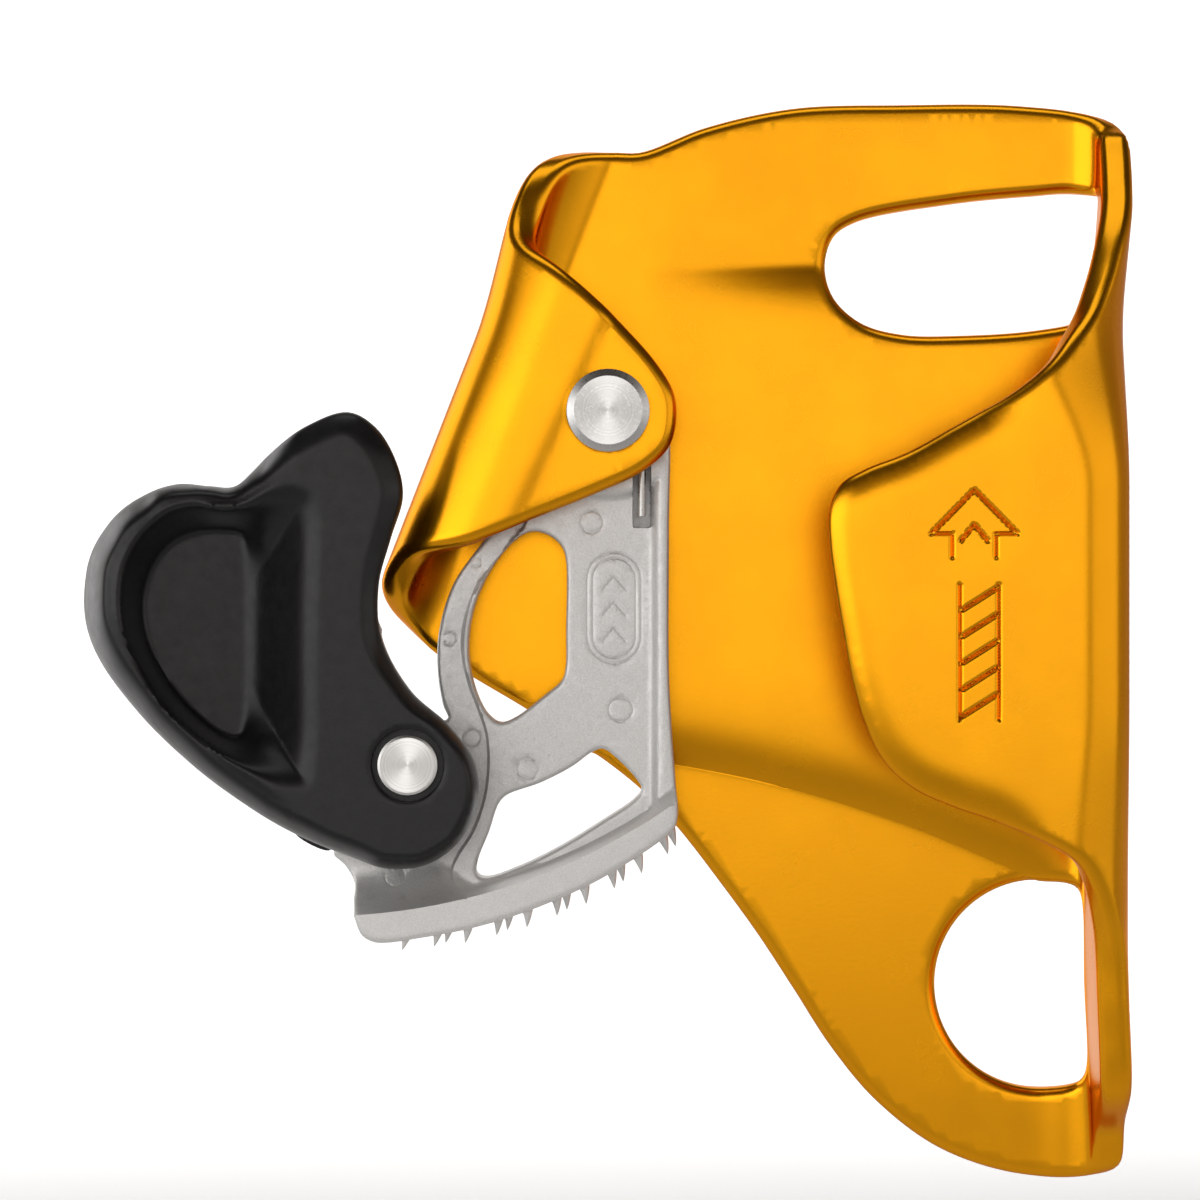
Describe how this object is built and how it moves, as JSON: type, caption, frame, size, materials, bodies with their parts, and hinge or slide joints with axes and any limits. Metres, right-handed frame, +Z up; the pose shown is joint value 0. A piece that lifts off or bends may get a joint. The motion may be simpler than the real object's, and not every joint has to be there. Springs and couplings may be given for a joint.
{
  "type": "chest ascender",
  "caption": "Chest ascender for a single rope: bent sheet frame with two attachment holes, toothed cam on a rivet and a moulded safety catch, cam locked open.",
  "frame": {"origin": "centre of the lower attachment hole, in the rear face of the back sheet", "axes": "+X to the right seen from the front, +Y to the rear (towards the wearer), +Z up along the rope"},
  "size_m": [0.1054, 0.0216, 0.1096],
  "materials": {
    "gold_sheet": "satin gold anodised",
    "stainless": "rolled",
    "turned_steel": "turned",
    "cast_steel": "blasted casting",
    "spring_steel": "drawn wire",
    "black_plastic": "fine grained moulded"
  },
  "bodies": {
    "frame": {"frame": "gold_sheet", "channel_wear_plate": "stainless", "cam_axle": "turned_steel", "cam_shim": "stainless"},
    "cam": {"cam": "cast_steel", "cam_spring": "spring_steel", "catch_axle": "turned_steel", "catch_shim": "stainless"},
    "catch": {"catch": "black_plastic", "catch_spring": "spring_steel"}
  },
  "joints": [
    {"name": "cam_pivot", "type": "hinge", "parent": "frame", "child": "cam", "pos_m": [-0.0439, -0.0068, 0.0579], "axis": [0, -1, 0], "range_deg": [0, 73]},
    {"name": "catch_pivot", "type": "hinge", "parent": "cam", "child": "catch", "pos_m": [-0.0637, -0.0135, 0.0228], "axis": [0, -1, 0], "range_deg": [0, 22], "stiffness_Nm_per_rad": 0.02, "springref_deg": -28.65}
  ]
}
